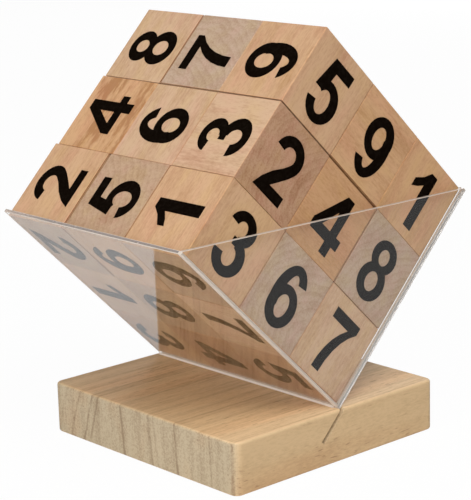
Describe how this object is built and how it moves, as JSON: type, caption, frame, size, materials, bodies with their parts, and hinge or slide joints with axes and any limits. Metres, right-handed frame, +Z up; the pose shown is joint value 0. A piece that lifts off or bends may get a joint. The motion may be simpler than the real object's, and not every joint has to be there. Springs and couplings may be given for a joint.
{
  "type": "sudoku cube",
  "caption": "Number puzzle of loose wooden cubes printed with numerals, stacked on edge in a clear tray that stands in the slanted slot of a square wooden base block.",
  "frame": {"origin": "middle of the base block's underside", "axes": "+Z up; -Y towards the triangular front panel; +X to the right, where the tray's right panel leans up from the kerf"},
  "size_m": [0.1299, 0.095, 0.1441],
  "materials": {
    "base_wood": "sanded pine, open end grain on two sides",
    "cube_wood": "sanded light hardwood with eased edges",
    "clear_sheet": "clear acrylic sheet with sawn, polished edges",
    "ink": "printed black ink"
  },
  "bodies": {
    "base": {"base_block": "base_wood"},
    "tray": {"tray_left_panel": "clear_sheet", "tray_right_panel": "clear_sheet", "tray_front_panel": "clear_sheet"},
    "front_a1": {"cube_front_a1": "cube_wood", "numerals_front_a1": "ink"},
    "front_a2": {"cube_front_a2": "cube_wood", "numerals_front_a2": "ink"},
    "front_a3": {"cube_front_a3": "cube_wood", "numerals_front_a3": "ink"},
    "front_b1": {"cube_front_b1": "cube_wood", "numerals_front_b1": "ink"},
    "front_b2": {"cube_front_b2": "cube_wood", "numerals_front_b2": "ink"},
    "front_b3": {"cube_front_b3": "cube_wood", "numerals_front_b3": "ink"},
    "front_c1": {"cube_front_c1": "cube_wood", "numerals_front_c1": "ink"},
    "front_c2": {"cube_front_c2": "cube_wood", "numerals_front_c2": "ink"},
    "front_c3": {"cube_front_c3": "cube_wood", "numerals_front_c3": "ink"},
    "middle_a1": {"cube_middle_a1": "cube_wood", "numerals_middle_a1": "ink"},
    "middle_a2": {"cube_middle_a2": "cube_wood", "numerals_middle_a2": "ink"},
    "middle_a3": {"cube_middle_a3": "cube_wood", "numerals_middle_a3": "ink"},
    "middle_b1": {"cube_middle_b1": "cube_wood", "numerals_middle_b1": "ink"},
    "middle_b2": {"cube_middle_b2": "cube_wood"},
    "middle_b3": {"cube_middle_b3": "cube_wood", "numerals_middle_b3": "ink"},
    "middle_c1": {"cube_middle_c1": "cube_wood", "numerals_middle_c1": "ink"},
    "middle_c2": {"cube_middle_c2": "cube_wood", "numerals_middle_c2": "ink"},
    "middle_c3": {"cube_middle_c3": "cube_wood", "numerals_middle_c3": "ink"},
    "back_a1": {"cube_back_a1": "cube_wood", "numerals_back_a1": "ink"},
    "back_a2": {"cube_back_a2": "cube_wood", "numerals_back_a2": "ink"},
    "back_a3": {"cube_back_a3": "cube_wood", "numerals_back_a3": "ink"},
    "back_b1": {"cube_back_b1": "cube_wood", "numerals_back_b1": "ink"},
    "back_b2": {"cube_back_b2": "cube_wood", "numerals_back_b2": "ink"},
    "back_b3": {"cube_back_b3": "cube_wood", "numerals_back_b3": "ink"},
    "back_c1": {"cube_back_c1": "cube_wood", "numerals_back_c1": "ink"},
    "back_c2": {"cube_back_c2": "cube_wood", "numerals_back_c2": "ink"},
    "back_c3": {"cube_back_c3": "cube_wood", "numerals_back_c3": "ink"}
  },
  "joints": [
    {"name": "tray_lift", "type": "slide", "parent": "base", "child": "tray", "axis": [0.7009, 0, 0.7133], "range_m": [0, 0.02]},
    {"name": "front_a1_slide", "type": "slide", "parent": "tray", "child": "front_a1", "axis": [-0.7133, 0, 0.7009], "range_m": [0, 0.095]},
    {"name": "front_a2_slide", "type": "slide", "parent": "front_a1", "child": "front_a2", "axis": [-0.7133, 0, 0.7009], "range_m": [0, 0.065]},
    {"name": "front_a3_slide", "type": "slide", "parent": "front_a2", "child": "front_a3", "axis": [-0.7133, 0, 0.7009], "range_m": [0, 0.035]},
    {"name": "front_b1_slide", "type": "slide", "parent": "tray", "child": "front_b1", "axis": [-0.7133, 0, 0.7009], "range_m": [0, 0.095]},
    {"name": "front_b2_slide", "type": "slide", "parent": "front_b1", "child": "front_b2", "axis": [-0.7133, 0, 0.7009], "range_m": [0, 0.065]},
    {"name": "front_b3_slide", "type": "slide", "parent": "front_b2", "child": "front_b3", "axis": [-0.7133, 0, 0.7009], "range_m": [0, 0.035]},
    {"name": "front_c1_slide", "type": "slide", "parent": "tray", "child": "front_c1", "axis": [-0.7133, 0, 0.7009], "range_m": [0, 0.095]},
    {"name": "front_c2_slide", "type": "slide", "parent": "front_c1", "child": "front_c2", "axis": [-0.7133, 0, 0.7009], "range_m": [0, 0.065]},
    {"name": "front_c3_slide", "type": "slide", "parent": "front_c2", "child": "front_c3", "axis": [-0.7133, 0, 0.7009], "range_m": [0, 0.035]},
    {"name": "middle_a1_slide", "type": "slide", "parent": "tray", "child": "middle_a1", "axis": [-0.7133, 0, 0.7009], "range_m": [0, 0.095]},
    {"name": "middle_a2_slide", "type": "slide", "parent": "middle_a1", "child": "middle_a2", "axis": [-0.7133, 0, 0.7009], "range_m": [0, 0.065]},
    {"name": "middle_a3_slide", "type": "slide", "parent": "middle_a2", "child": "middle_a3", "axis": [-0.7133, 0, 0.7009], "range_m": [0, 0.035]},
    {"name": "middle_b1_slide", "type": "slide", "parent": "tray", "child": "middle_b1", "axis": [-0.7133, 0, 0.7009], "range_m": [0, 0.095]},
    {"name": "middle_b2_slide", "type": "slide", "parent": "middle_b1", "child": "middle_b2", "axis": [-0.7133, 0, 0.7009], "range_m": [0, 0.065]},
    {"name": "middle_b3_slide", "type": "slide", "parent": "middle_b2", "child": "middle_b3", "axis": [-0.7133, 0, 0.7009], "range_m": [0, 0.035]},
    {"name": "middle_c1_slide", "type": "slide", "parent": "tray", "child": "middle_c1", "axis": [-0.7133, 0, 0.7009], "range_m": [0, 0.095]},
    {"name": "middle_c2_slide", "type": "slide", "parent": "middle_c1", "child": "middle_c2", "axis": [-0.7133, 0, 0.7009], "range_m": [0, 0.065]},
    {"name": "middle_c3_slide", "type": "slide", "parent": "middle_c2", "child": "middle_c3", "axis": [-0.7133, 0, 0.7009], "range_m": [0, 0.035]},
    {"name": "back_a1_slide", "type": "slide", "parent": "tray", "child": "back_a1", "axis": [-0.7133, 0, 0.7009], "range_m": [0, 0.095]},
    {"name": "back_a2_slide", "type": "slide", "parent": "back_a1", "child": "back_a2", "axis": [-0.7133, 0, 0.7009], "range_m": [0, 0.065]},
    {"name": "back_a3_slide", "type": "slide", "parent": "back_a2", "child": "back_a3", "axis": [-0.7133, 0, 0.7009], "range_m": [0, 0.035]},
    {"name": "back_b1_slide", "type": "slide", "parent": "tray", "child": "back_b1", "axis": [-0.7133, 0, 0.7009], "range_m": [0, 0.095]},
    {"name": "back_b2_slide", "type": "slide", "parent": "back_b1", "child": "back_b2", "axis": [-0.7133, 0, 0.7009], "range_m": [0, 0.065]},
    {"name": "back_b3_slide", "type": "slide", "parent": "back_b2", "child": "back_b3", "axis": [-0.7133, 0, 0.7009], "range_m": [0, 0.035]},
    {"name": "back_c1_slide", "type": "slide", "parent": "tray", "child": "back_c1", "axis": [-0.7133, 0, 0.7009], "range_m": [0, 0.095]},
    {"name": "back_c2_slide", "type": "slide", "parent": "back_c1", "child": "back_c2", "axis": [-0.7133, 0, 0.7009], "range_m": [0, 0.065]},
    {"name": "back_c3_slide", "type": "slide", "parent": "back_c2", "child": "back_c3", "axis": [-0.7133, 0, 0.7009], "range_m": [0, 0.035]}
  ]
}
